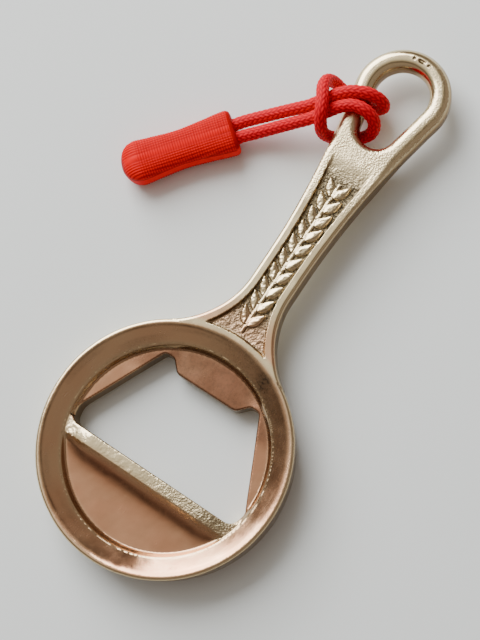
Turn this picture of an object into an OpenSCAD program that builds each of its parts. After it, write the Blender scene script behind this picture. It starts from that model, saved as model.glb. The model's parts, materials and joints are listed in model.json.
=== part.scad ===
// Souvenir bottle opener: a plated casting with a braided pull cord hitched on
// its loop. It lies on its back, face up, with the handle along +Y.

/* [Overall] */
// Length of the casting from the rim of the head to the top of the loop
overall_length = 103; // [96:1:130]
// Outer diameter of the round head
head_d = 44; // [40:0.5:48]
// Thickness of the head, from the table to the front face
thickness = 6.8; // [6.5:0.1:8]

/* [Head] */
// Diameter of the step between the sloping rim and the floor of the dish
step_d = 35.2; // [33:0.1:36.5]
// Depth of that step below the front face
step_depth = 3; // [2:0.1:3.6]
// Depth of the recess in the back of the head
back_recess = 0.8; // [0.3:0.1:1.2]
// Distance of the lip's edge below the middle of the head
lip_drop = 4.6; // [3.5:0.1:6]
// Width of the opening along the lip
lip_w = 30.6; // [26:0.2:32]
// Depth of the lip's ledge below the front face
lip_depth = 0.9; // [0.4:0.1:2]
// Width of the lip's ledge
ledge_w = 2.2; // [1.5:0.1:3]
// Distance of the tongue's edge above the middle of the head
tongue_rise = 11.6; // [10.5:0.1:12.5]
// Straight width of the tongue's edge
tongue_w = 11; // [9:0.5:12.5]

/* [Handle] */
// Width of the handle at its waist
waist_w = 8; // [7:0.1:10]
// Distance of the waist above the middle of the head
waist_rise = 36; // [34:0.5:39]
// Thickness of the handle and the loop
handle_t = 4.2; // [3.4:0.1:4.3]
// Radius of the hollow curve between the head and the handle
neck_r = 16; // [10:0.5:18]
// Width of the raised border round the sunken field
border_w = 1.6; // [1.2:0.1:2]
// Depth of the sunken field
field_depth = 0.7; // [0.4:0.1:1]

/* [Loop] */
// Outer width of the loop
loop_w = 17; // [15.5:0.1:18]
// Width of the loop's bar
bar_w = 3.7; // [3:0.1:3.9]
// Lean of the loop's two limbs towards each other
limb_lean = 12; // [10:0.5:13]
// Distance from the middle of the loop's round top down to the middle of the eye's round bottom
eye_drop = 7.5; // [6.5:0.1:8]
// Radius of the bottom of the eye
eye_foot_r = 3.2; // [2.6:0.1:3.3]
// Width by which both edges of the eye's bottom are broken
eye_chamfer = 1.2; // [0.4:0.1:1.4]

/* [Cord] */
// Diameter of the cord
cord_d = 2.3; // [1.8:0.05:2.35]
// Radial room round the cord in the pull's two bores
bore_gap = 0.05; // [0.02:0.01:0.1]

/* [Pull] */
// Length of the moulded pull
pull_l = 21; // [18:0.5:26]
// Width of the pull at its mouth
pull_w = 8.2; // [7:0.1:10]
// Width of the pull at its waist
pull_waist_w = 6.8; // [6:0.1:8]
// Thickness of the pull
pull_t = 5.4; // [4.6:0.1:6.2]
// Depth of the two bores that hold the cord's ends
bore_depth = 8.6; // [6:0.2:12]

/* [Hidden] */
$fn = 96;

// Small amount by which a cut runs past the face that it opens
past = 0.5;
// How far the edges of the handle are rounded, as [height, inset] from the edge
edge_steps = [[0, 0.75], [0.2, 0.4], [0.55, 0.12], [0.95, 0]];

head_r = head_d / 2;
head_y = head_r - overall_length / 2;
back_z = thickness - handle_t;
limb_z = thickness - handle_t / 2;
loop_r = loop_w / 2;
loop_rise = overall_length - head_r - loop_r;
step_r = step_d / 2;
floor_z = thickness - step_depth;
limb_mid_r = loop_r - bar_w / 2;
eye_foot_rise = loop_rise - eye_drop;
// Radius of the handle's long outward curve, which runs from the waist into the limbs without a kink
flare_r = (waist_w / 2 * cos(limb_lean) + (loop_rise - waist_rise) * sin(limb_lean) - loop_r)
          / (1 - cos(limb_lean));
// Height at which the curve between the head and the handle leaves the head
neck_foot = sqrt(pow(head_r, 2) - pow(head_r * (waist_w / 2 + neck_r) / (head_r + neck_r), 2));

// The barley ear that decorates the field
ear_start = 24.5;
ear_pitch = 2.15;
ear_pairs = 12;
grain_l = 3.1;
grain_w = 1.15;
relief_h = 0.6;

// The limb's own frame: across it towards the eye, up along it, and out of the face.
// Its origin is on the limb's middle line, this far down from the loop's round top.
hitch_drop = 5;
limb_across = [cos(limb_lean), sin(limb_lean), 0];
limb_along = [-sin(limb_lean), cos(limb_lean), 0];
hitch_at = [-limb_mid_r * limb_across.x, head_y + loop_rise - limb_mid_r * limb_across.y, limb_z]
           - hitch_drop * limb_along;

// The cord's route in that frame. The hitch runs over the limb, through the eye,
// behind the limb, round in front of its own two strands, and back the same way.
hitch_points = [
    [-6.6, -1.1, 1.6], [-4.9, 0.1, 2.1], [-3.0, 1.3, 3.0], [-0.8, 2.2, 3.5], [1.6, 2.7, 3.2],
    [3.6, 2.8, 1.7], [4.2, 2.6, -0.4], [3.2, 2.6, -2.4], [1.2, 2.7, -3.4], [-1.4, 3.1, -3.4],
    [-3.8, 3.7, -2.3], [-5.4, 4.0, -0.3], [-6.2, 3.2, 2.1], [-6.0, 1.1, 4.1], [-5.1, -1.2, 4.8],
    [-4.5, -3.6, 4.5], [-4.1, -5.2, 2.7], [-3.8, -5.5, 0.2], [-2.9, -5.0, -2.1], [-0.9, -4.2, -3.4],
    [1.4, -3.4, -3.3], [3.3, -2.6, -2.0], [4.1, -1.7, 0.0], [3.7, -0.9, 2.0], [2.1, -0.3, 3.3],
    [0.0, -0.2, 3.5], [-2.2, -1.0, 3.0], [-4.1, -2.2, 2.1], [-5.7, -3.3, 1.6]
];
leg_a_points = [
    [-7.8, -2.0, 1.3], [-9.6, -2.9, 0.8], [-11.8, -3.9, 0.0], [-14.3, -5.1, -0.9],
    [-16.8, -6.4, -1.6], [-18.6, -7.5, -1.9]
];
leg_b_points = [
    [-6.7, -4.1, 1.3], [-8.5, -5.1, 0.8], [-10.7, -6.2, 0.0], [-13.1, -7.4, -0.9],
    [-15.5, -8.7, -1.6], [-17.1, -9.6, -1.9]
];
// Middle of the pull's mouth, the way the pull points, and how far apart its bores are
mouth_at = [-19.1, -9.5];
pull_turn = 218;
bore_pitch = 2.5;

// ---- Rounded outlines ----

function unit(v) = v / norm(v);

// Points of one corner of an outline, rounded to radius r
function rounded_corner(before, corner, after, r, steps = 6) =
    let (u = unit(before - corner),
         v = unit(after - corner),
         half = acos(u * v) / 2,
         middle = corner + unit(u + v) * r / sin(half),
         first = corner + u * r / tan(half) - middle,
         last = corner + v * r / tan(half) - middle,
         start = atan2(first.y, first.x),
         turn = (atan2(last.y, last.x) - start + 540) % 360 - 180)
    [for (i = [0 : steps])
        middle + r * [cos(start + turn * i / steps), sin(start + turn * i / steps)]];

// An outline from corners given as [x, y, radius]
function rounded_outline(corners) =
    let (n = len(corners))
    [for (i = [0 : n - 1])
        let (b = corners[(i + n - 1) % n], c = corners[i], a = corners[(i + 1) % n])
        each rounded_corner([b.x, b.y], [c.x, c.y], [a.x, a.y], c.z)];

// One side of an outline, and then its mirror image back to the start
function mirrored(side) =
    concat(side, [for (i = [len(side) - 1 : -1 : 0])
        [for (k = [0 : len(side[i]) - 1]) k == 0 ? -side[i].x : side[i][k]]]);

// ---- The head ----

// Ring, rim and dish floor, as a section turned round the head's axis
module head_blank() {
    // The wall leans in towards the back, and its back edge is broken
    wall_draft = 0.6;
    back_break = 0.4;
    // The rim's rounded edge and the band that slopes in from it, as [inset, depth] from the corner
    rim = [[0, 1.1], [0.12, 0.45], [0.45, 0.1], [0.75, 0]];
    band = [[1.3, 0.35], [2.2, 1.05], [3.2, 1.9]];
    // Slope of the little step between the band and the floor
    step_w = 0.35;
    recess_slope = 1;
    rotate_extrude(angle = 360)
        polygon(concat(
            [[0, back_recess], [step_r - recess_slope, back_recess], [step_r, 0],
             [head_r - wall_draft - back_break, 0], [head_r - wall_draft, back_break]],
            [for (p = concat(rim, band)) [head_r - p.x, thickness - p.y]],
            [[step_r + step_w, floor_z + step_w], [step_r, floor_z], [0, floor_z]]));
}

// The lip: a level ledge at the opening's straight edge, with a hollow ramp down to the floor
module lip_ramp() {
    ledge_z = thickness - lip_depth;
    drop = ledge_z - floor_z;
    flat_end = 1.5;
    run = step_r - lip_drop - ledge_w - flat_end;
    overlap = 0.2;
    steps = 8;
    hollow = [for (i = [0 : steps])
        let (t = i / steps)
        [-lip_drop - ledge_w - run * t, floor_z + drop * pow(1 - t, 2)]];
    intersection() {
        cylinder(r = step_r + overlap, h = thickness);
        rotate([90, 0, 90])
            linear_extrude(height = head_d, center = true)
                polygon(concat([[0, back_recess], [0, ledge_z]], hollow,
                               [[-step_r, floor_z - past], [-step_r, back_recess]]));
    }
}

// Outline of the opening that takes the cap: straight lip, leaning sides, two notches and the tongue
module opening_outline() {
    // The lip's ends turn up into the sides
    corner_r = 1.9;
    corner_out = 1.4;
    side_out = 1.8;
    side_rise = 2.9;
    // A notch stands at each end of the tongue
    notch_out = 3.4;
    notch_half_w = 0.9;
    notch_rise = 2;
    notch_r = 1;
    tongue_corner_r = 1.2;
    notch_x = tongue_w / 2 + notch_out;
    notch_y = tongue_rise + notch_rise;
    side = [
        [lip_w / 2 + corner_out, -lip_drop, corner_r],
        [lip_w / 2 + side_out, -lip_drop + side_rise, corner_r],
        [notch_x + notch_half_w, notch_y, notch_r],
        [notch_x - notch_half_w, notch_y, notch_r],
        [tongue_w / 2 + notch_half_w, tongue_rise, tongue_corner_r]
    ];
    polygon(rounded_outline(mirrored(side)));
}

// The tongue's face falls away towards its edge
module tongue_slope() {
    slope = 6;
    reach = tongue_w / 2 + 2.3;
    translate([0, step_r, floor_z])
        rotate([slope, 0, 0])
            translate([-reach, -step_r, 0])
                cube([2 * reach, step_r, step_depth]);
}

module head() {
    translate([0, head_y, 0])
        difference() {
            union() {
                head_blank();
                lip_ramp();
            }
            translate([0, 0, -past])
                linear_extrude(height = thickness + 2 * past)
                    opening_outline();
            intersection() {
                tongue_slope();
                cylinder(r = step_r, h = thickness);
            }
        }
}

// ---- The handle ----

// Half the handle's width at a distance above the middle of the head
function half_width(rise) =
    let (half = waist_w / 2,
         neck_rise = sqrt(pow(head_r + neck_r, 2) - pow(half + neck_r, 2)),
         below = neck_rise - rise,
         above = rise - waist_rise)
    below > 0 ? half + neck_r - sqrt(max(0, pow(neck_r, 2) - pow(below, 2)))
    : above > 0 ? half + flare_r - sqrt(pow(flare_r, 2) - pow(above, 2))
    : half;

// How far the slab of the handle draws in where it runs out under the rounded limbs
run_out_l = 7;
run_out_slope = 0.2;
function run_out(rise) = run_out_slope * max(0, rise - eye_foot_rise + run_out_l);

// The handle's outline between two heights, drawn in by an inset
module handle_outline(from, to, inset) {
    steps = 22;
    polygon(mirrored([for (i = [0 : steps])
        let (rise = from + (to - from) * i / steps)
        [half_width(rise) - inset - run_out(rise), rise]]));
}

// A layer of the handle from each edge step to the next, at the back and at the front
module handle_blank() {
    for (step = edge_steps)
        translate([0, 0, back_z + step.x])
            linear_extrude(height = handle_t - 2 * step.x)
                handle_outline(neck_foot, eye_foot_rise, step.y);
}

// Section of the loop's bar, rounded on both edges
module bar_section() {
    round_share = 0.43;
    r = min(bar_w, handle_t) * round_share;
    dx = bar_w / 2 - r;
    dy = handle_t / 2 - r;
    for (x = [-dx, dx], y = [-dy, dy])
        translate([x, y])
            circle(r = r, $fn = 48);
    square([2 * dx, handle_t], center = true);
    square([bar_w, 2 * dy], center = true);
}

// The loop: a round top and two straight limbs that lean in to the handle
module loop() {
    limb_l = eye_drop + 10.5;
    translate([0, loop_rise, limb_z]) {
        rotate([0, 0, -limb_lean])
            rotate_extrude(angle = 180 + 2 * limb_lean)
                translate([limb_mid_r, 0])
                    bar_section();
        for (side = [-1, 1])
            rotate([0, 0, -side * limb_lean])
                translate([side * limb_mid_r, 0, 0])
                    rotate([90, 0, 0])
                        linear_extrude(height = limb_l)
                            bar_section();
    }
}

// The sunken field between the head's rim and the loop
module field() {
    below_eye = 10;
    rim_gap = 0.3;
    translate([0, 0, thickness - field_depth])
        difference() {
            linear_extrude(height = field_depth + past)
                handle_outline(head_r - 1, eye_foot_rise - below_eye, border_w);
            translate([0, 0, -past])
                cylinder(r = head_r + rim_gap, h = thickness);
        }
}

// A pointed grain lying along +Y, with its foot at the origin
module grain() {
    steps = 8;
    blunt = 0.02;
    belly = 0.8;
    polygon(mirrored([for (i = [0 : steps])
        let (t = i / steps)
        [grain_w / 2 * sin(180 * pow(t, belly)) + blunt, grain_l * t]]));
}

// A generic ear of barley, raised from the field
module ear() {
    splay = 24;
    foot_x = 0.35;
    stem_w = 0.6;
    stem_foot = 1.2;
    sunk = 0.1;
    translate([0, 0, thickness - field_depth - sunk])
        linear_extrude(height = relief_h + sunk) {
            translate([-stem_w / 2, ear_start - stem_foot])
                square([stem_w, (ear_pairs - 1) * ear_pitch + stem_foot]);
            for (i = [0 : ear_pairs - 1], side = [-1, 1])
                translate([side * foot_x, ear_start + i * ear_pitch])
                    rotate(-side * splay)
                        grain();
        }
}

// The eye's round bottom, with both of its edges broken
module eye_foot() {
    widened = eye_foot_r + eye_chamfer + past;
    translate([0, eye_foot_rise, 0]) {
        translate([0, 0, -past])
            cylinder(r = eye_foot_r, h = thickness + 2 * past);
        translate([0, 0, back_z - past])
            cylinder(r1 = widened, r2 = eye_foot_r, h = eye_chamfer + past);
        translate([0, 0, thickness - eye_chamfer])
            cylinder(r1 = eye_foot_r, r2 = widened, h = eye_chamfer + past);
    }
}

module opener_body() {
    // The handle starts this far inside the head's wall
    rooted = 0.7;
    color("tan")
        union() {
            head();
            translate([0, head_y, 0])
                difference() {
                    union() {
                        difference() {
                            handle_blank();
                            field();
                        }
                        loop();
                        ear();
                    }
                    translate([0, 0, -past])
                        cylinder(r = head_r - rooted, h = thickness + 2 * past);
                    eye_foot();
                }
        }
}

// ---- The cord ----

// A smooth curve through points, with steps rings between each two
function smooth(points, steps) =
    let (n = len(points))
    concat([for (i = [0 : n - 2], k = [0 : steps - 1])
        let (a = points[max(i - 1, 0)], b = points[i], c = points[i + 1], d = points[min(i + 2, n - 1)],
             t = k / steps)
        (2 * b + (c - a) * t + (2 * a - 5 * b + 4 * c - d) * pow(t, 2)
         + (3 * b - a - 3 * c + d) * pow(t, 3)) / 2],
        [points[n - 1]]);

// From the limb's frame to the part's
function placed(p) = hitch_at + p.x * limb_across + p.y * limb_along + [0, 0, p.z];

// Directions along a line, and a frame carried along it without twist
function heading(line, i) = unit(line[min(i + 1, len(line) - 1)] - line[max(i - 1, 0)]);
function carried(line, i, side) =
    let (t = heading(line, i), s = unit(side - (side * t) * t))
    i == len(line) - 1 ? [s] : concat([s], carried(line, i + 1, s));

// One tube along a line, with its two ends drawn in
module tube(line, d, sides = 8) {
    end_share = 0.6;
    last = len(line) - 1;
    across = carried(line, 0, cross(heading(line, 0), [0.1, 0.2, 1]));
    points = [for (i = [0 : last], k = [0 : sides - 1])
        let (s = across[i], u = cross(heading(line, i), s), turn = 360 * k / sides,
             r = d / 2 * (i == 0 || i == last ? end_share : 1))
        line[i] + r * (cos(turn) * s + sin(turn) * u)];
    walls = [for (i = [0 : last - 1], k = [0 : sides - 1])
        let (a = i * sides + k, b = i * sides + (k + 1) % sides)
        each [[a, b + sides, b], [a, a + sides, b + sides]]];
    ends = [[for (k = [0 : sides - 1]) k],
            [for (k = [sides - 1 : -1 : 0]) last * sides + k]];
    polyhedron(points = points, faces = concat(walls, ends));
}

module cord_hitch() {
    color("crimson")
        tube([for (p = smooth(hitch_points, 2)) placed(p)], cord_d);
}

// Where a bore runs in the pull, at a depth from its mouth
function in_bore(side, depth) =
    [mouth_at.x, mouth_at.y, pull_t / 2 - limb_z]
    + side * bore_pitch / 2 * [-sin(pull_turn + 180), cos(pull_turn + 180), 0]
    + depth * [cos(pull_turn), sin(pull_turn), 0];

module cord_legs() {
    depths = [0, 3, bore_depth];
    legs = [concat(leg_a_points, [for (d = depths) in_bore(1, d)]),
            concat(leg_b_points, [for (d = depths) in_bore(-1, d)])];
    color("crimson")
        for (leg = legs)
            tube([for (p = smooth(leg, 1)) placed(p)], cord_d);
}

// ---- The pull ----

// How the far end rounds off past a share of the length, down to a blunt face
function tail(t, start, power, blunt) =
    t < start ? 1 : sqrt(max(blunt, 1 - pow((t - start) / (1 - start), power)));

// Half the pull's width at a share of its length, drawn in at the waist and rounded at the far end
function pull_half(t) =
    let (full_again = 0.95,
         swell = pow(cos(180 * min(1, t / full_again)), 2))
    (pull_waist_w + (pull_w - pull_waist_w) * swell) / 2 * tail(t, 0.8, 2.4, 0.05);

// Half the pull's thickness there
function pull_rise(t) = pull_t / 2 * tail(t, 0.84, 2.2, 0.12);

// One section of the pull, a flattened round
function pull_ring(t, sides) =
    [for (k = [0 : sides - 1])
        let (turn = 360 * k / sides, c = cos(turn), s = sin(turn), power = 0.62)
        [pull_l * t,
         pull_half(t) * sign(c) * pow(abs(c), power),
         pull_rise(t) * sign(s) * pow(abs(s), power)]];

module pull_blank() {
    rings = 18;
    sides = 24;
    points = [for (i = [0 : rings]) each pull_ring(i / rings, sides)];
    walls = [for (i = [0 : rings - 1], k = [0 : sides - 1])
        let (a = i * sides + k, b = i * sides + (k + 1) % sides)
        each [[a, b, b + sides], [a, b + sides, a + sides]]];
    ends = [[for (k = [sides - 1 : -1 : 0]) k], [for (k = [0 : sides - 1]) rings * sides + k]];
    polyhedron(points = points, faces = concat(walls, ends));
}

module pull_tip() {
    at = placed([mouth_at.x, mouth_at.y, pull_t / 2 - limb_z]);
    color("red")
        translate(at)
            rotate([0, 0, limb_lean + pull_turn])
                difference() {
                    pull_blank();
                    for (side = [-1, 1])
                        translate([-past, side * bore_pitch / 2, 0])
                            rotate([0, 90, 0])
                                cylinder(r = cord_d / 2 + bore_gap, h = bore_depth + past);
                }
}

opener_body();
cord_hitch();
cord_legs();
pull_tip();
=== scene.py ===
"""Looks of a souvenir bottle opener: a plated casting with a braided pull cord hitched on its loop.

Everything is in metres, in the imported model's own frame. Three pieces are made here, one for each
real piece: the casting, the cord and the moulded pull. Each is worked out with numpy as whole arrays.
"""

import sys

import json
import logging
import math
from dataclasses import dataclass, field
from enum import Enum
from typing import Sequence

import bpy
import numpy as np
from mathutils import Matrix, Vector


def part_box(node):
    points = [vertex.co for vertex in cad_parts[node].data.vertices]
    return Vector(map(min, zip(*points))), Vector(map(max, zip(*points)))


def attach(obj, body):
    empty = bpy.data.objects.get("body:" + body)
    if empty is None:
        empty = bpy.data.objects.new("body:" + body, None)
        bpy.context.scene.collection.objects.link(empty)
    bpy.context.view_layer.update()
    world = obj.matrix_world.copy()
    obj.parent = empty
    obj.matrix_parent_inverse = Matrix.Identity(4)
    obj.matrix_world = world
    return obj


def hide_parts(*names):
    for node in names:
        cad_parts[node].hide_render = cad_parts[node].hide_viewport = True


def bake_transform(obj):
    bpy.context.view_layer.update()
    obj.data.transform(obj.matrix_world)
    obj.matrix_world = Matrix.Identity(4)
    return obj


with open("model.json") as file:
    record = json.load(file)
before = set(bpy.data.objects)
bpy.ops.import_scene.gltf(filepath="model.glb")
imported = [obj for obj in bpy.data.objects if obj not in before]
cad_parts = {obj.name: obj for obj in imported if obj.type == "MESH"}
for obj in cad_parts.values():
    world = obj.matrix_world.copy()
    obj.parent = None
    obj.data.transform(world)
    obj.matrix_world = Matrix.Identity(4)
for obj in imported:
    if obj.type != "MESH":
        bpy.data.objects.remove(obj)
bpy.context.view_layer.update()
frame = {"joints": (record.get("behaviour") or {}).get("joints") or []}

MM = 0.001
Array = np.ndarray
Colour = tuple[float, float, float]
Point = tuple[float, float, float]
Socket = bpy.types.NodeSocket
log = logging.getLogger("opener")


class Body(str, Enum):
    """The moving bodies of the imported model."""

    OPENER = "opener"
    HITCH = "hitch"
    PULL = "pull"


class Slot(str, Enum):
    """The record's material slots."""

    CASTING = "plated_casting"
    CORD = "braided_cord"
    PULL = "moulded_pull"


# ---- Shapes as numbers ----


def smooth_min(a: Array, b: Array, width: Array | float) -> Array:
    """The lesser of two distances, with the crease between them filled over a width.

    Args:
        a: One distance.
        b: The other distance.
        width: Difference of the two below which they blend.

    Returns:
        The blended distance, a quarter of the width below both where they are equal.
    """
    share = np.clip(0.5 + 0.5 * (b - a) / width, 0, 1)
    return b + (a - b) * share - width * share * (1 - share)


def smooth_max(a: Array, b: Array, width: float) -> Array:
    """The greater of two distances, with the crease filled over a width."""
    return -smooth_min(-a, -b, width)


def round_max(a: Array, b: Array, radius: Array | float) -> Array:
    """What two solids share, with the edge between their faces rounded.

    Args:
        a: Distance from the first solid's face, negative inside.
        b: Distance from the second solid's face, negative inside.
        radius: Radius of the rounded edge.

    Returns:
        The greater distance, which near the edge becomes the distance from a circle tangent to both.
    """
    u = np.maximum(a + radius, 0)
    v = np.maximum(b + radius, 0)
    return np.minimum(np.maximum(a, b), -radius) + np.hypot(u, v)


def smooth_step(low: float, high: float, value: Array) -> Array:
    """0 below low and 1 above high, with a cubic of level ends between them."""
    share = np.clip((value - low) / (high - low), 0, 1)
    return share * share * (3 - 2 * share)


def lattice_noise(x: Array, y: Array, z: Array | float, pitch: float, seed: int) -> Array:
    """Smooth noise from -1 to 1: random values at the corners of cubes, blended by cubics between them.

    Args:
        x: First coordinate.
        y: Second coordinate.
        z: Third coordinate.
        pitch: Side of the cubes.
        seed: Which set of random values to use.

    Returns:
        The noise at each point.
    """
    count = 64
    corners = np.random.default_rng(seed).uniform(-1, 1, (count, count, count))
    cells = [np.floor(np.asarray(c, float) / pitch) for c in (x, y, z)]
    shares = [smooth_step(0, 1, c / pitch - cell) for c, cell in zip((x, y, z), cells)]
    total = 0.0
    for turn in np.ndindex(2, 2, 2):
        index = tuple((cell.astype(int) + step) % count for cell, step in zip(cells, turn))
        weight = 1.0
        for share, step in zip(shares, turn):
            weight = weight * (share if step else 1 - share)
        total = total + corners[index] * weight
    return total


def rounded_outline(corners: Sequence[tuple[float, float, float]], steps: int = 8) -> Array:
    """Points of a closed outline whose corners are arcs.

    Args:
        corners: Each corner as its place and the radius of its arc.
        steps: Points on each arc, less one.

    Returns:
        The points, in order, one row each.
    """
    places = np.array([c[:2] for c in corners])
    radii = np.array([c[2] for c in corners])[:, None]
    back = np.roll(places, 1, axis=0) - places
    ahead = np.roll(places, -1, axis=0) - places
    back /= np.linalg.norm(back, axis=1, keepdims=True)
    ahead /= np.linalg.norm(ahead, axis=1, keepdims=True)
    half = np.arccos(np.sum(back * ahead, axis=1, keepdims=True)) / 2
    middle = back + ahead
    centre = places + middle / np.linalg.norm(middle, axis=1, keepdims=True) * radii / np.sin(half)
    first = places + back * radii / np.tan(half) - centre
    last = places + ahead * radii / np.tan(half) - centre
    start = np.arctan2(first[:, 1], first[:, 0])
    turn = (np.arctan2(last[:, 1], last[:, 0]) - start + 3 * math.pi) % (2 * math.pi) - math.pi
    angle = start[:, None] + turn[:, None] * np.linspace(0, 1, steps + 1)
    arc = np.stack([np.cos(angle), np.sin(angle)], axis=-1) * radii[:, :, None]
    return (centre[:, None, :] + arc).reshape(-1, 2)


def outline_distance(x: Array, y: Array, outline: Array) -> Array:
    """Distance in a plane from a closed outline, negative inside it.

    Args:
        x: First coordinate.
        y: Second coordinate.
        outline: The outline's points, in order.

    Returns:
        The distance from the nearest edge, with its sign from how often a level ray crosses the outline.
    """
    nearest = np.full(np.broadcast(x, y).shape, np.inf)
    inside = np.zeros(nearest.shape, bool)
    for (ax, ay), (bx, by) in zip(outline, np.roll(outline, -1, axis=0)):
        ex, ey = bx - ax, by - ay
        share = np.clip(((x - ax) * ex + (y - ay) * ey) / (ex * ex + ey * ey), 0, 1)
        nearest = np.minimum(nearest, (x - ax - share * ex) ** 2 + (y - ay - share * ey) ** 2)
        crossed = (ay > y) != (by > y)
        inside ^= crossed & (x < ax + ex * (y - ay) / (ey if ey else 1.0))
    return np.where(inside, -1, 1) * np.sqrt(nearest)


# ---- Meshes from numbers ----


def net_of(values: Array, origin: Array, cell: float) -> tuple[Array, Array]:
    """The zero surface of a field on a grid, as quads.

    Each cell that the surface passes through gets one vertex, the mean of the places where the surface
    cuts the cell's edges. Each grid edge that it cuts gets one quad, through the four cells around it.

    Args:
        values: The field at the grid's corners, negative inside.
        origin: Place of the grid's first corner.
        cell: Side of a cell.

    Returns:
        The vertices, and the quads' vertex numbers with their faces outwards.
    """
    shape = values.shape
    sums = np.zeros((values.size, 3))
    counts = np.zeros(values.size)
    quads = []
    for axis in range(3):
        other = [(axis + 1) % 3, (axis + 2) % 3]
        low = np.take(values, range(shape[axis] - 1), axis=axis)
        high = np.take(values, range(1, shape[axis]), axis=axis)
        cut = np.argwhere((low < 0) != (high < 0))
        a = low[tuple(cut.T)]
        b = high[tuple(cut.T)]
        place = cut.astype(float)
        place[:, axis] += a / (a - b)
        round_edge = []
        for steps in ((0, 0), (1, 0), (1, 1), (0, 1)):
            around = cut.copy()
            around[:, other[0]] -= steps[0]
            around[:, other[1]] -= steps[1]
            number = np.ravel_multi_index(around.T, shape)
            round_edge.append(number)
            counts += np.bincount(number, minlength=values.size)
            for k in range(3):
                sums[:, k] += np.bincount(number, place[:, k], minlength=values.size)
        quad = np.stack(round_edge, axis=1)
        outwards = a < 0
        quads.append(np.where(outwards[:, None], quad, quad[:, ::-1]))
    used = np.flatnonzero(counts)
    numbers = np.full(values.size, -1)
    numbers[used] = np.arange(len(used))
    return origin + sums[used] / counts[used, None] * cell, numbers[np.concatenate(quads)]


def eased(points: Array, quads: Array, share: float) -> Array:
    """Each vertex moved a share of the way to the mean of its neighbours.

    Args:
        points: The vertices.
        quads: The faces.
        share: How far each vertex moves.

    Returns:
        The moved vertices.
    """
    here = quads.ravel()
    ahead = np.roll(quads, -1, axis=1).ravel()
    count = np.bincount(here, minlength=len(points)) + np.bincount(ahead, minlength=len(points))
    mean = np.stack(
        [
            np.bincount(here, points[ahead, k], len(points))
            + np.bincount(ahead, points[here, k], len(points))
            for k in range(3)
        ],
        axis=1,
    )
    return points + share * (mean / count[:, None] - points)


def grid_faces(rows: int, columns: int) -> Array:
    """Quads of a grid that closes on itself along its columns.

    Args:
        rows: Rings of vertices.
        columns: Vertices in a ring.

    Returns:
        The quads' vertex numbers.
    """
    row, column = np.meshgrid(np.arange(rows - 1), np.arange(columns), indexing="ij")
    beside = (column + 1) % columns
    corners = (row * columns + column, row * columns + beside, (row + 1) * columns + beside)
    return np.stack([*corners, (row + 1) * columns + column], axis=-1).reshape(-1, 4)


def mesh_object(
    name: str,
    points: Array,
    faces: Sequence[Sequence[int]],
    marks: dict[str, Array] | None = None,
    uv: Array | None = None,
) -> bpy.types.Object:
    """A smooth mesh object at the origin, with its place in its mesh.

    Args:
        name: The object's name.
        points: The vertices.
        faces: The faces' vertex numbers.
        marks: Values to keep at the vertices, by name.
        uv: Two surface coordinates for each corner of a face.

    Returns:
        The object, linked into the scene.
    """
    mesh = bpy.data.meshes.new(name)
    mesh.from_pydata(points.tolist(), [], [list(f) for f in faces])
    mesh.validate()
    for mark, values in (marks or {}).items():
        mesh.attributes.new(mark, "FLOAT", "POINT").data.foreach_set("value", values.astype(np.float32))
    if uv is not None:
        mesh.uv_layers.new(name="UVMap").data.foreach_set("uv", uv.astype(np.float32).ravel())
    mesh.shade_smooth()
    made = bpy.data.objects.new(name, mesh)
    bpy.context.scene.collection.objects.link(made)
    return made


def report(piece: bpy.types.Object) -> None:
    """Logs a piece's name and size.

    Args:
        piece: The piece.
    """
    piece.data.calc_loop_triangles()
    size = [round(d / MM, 1) for d in piece.dimensions]
    log.info("%s: %d triangles, %s mm", piece.name, len(piece.data.loop_triangles), size)


# ---- Finishes ----


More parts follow.
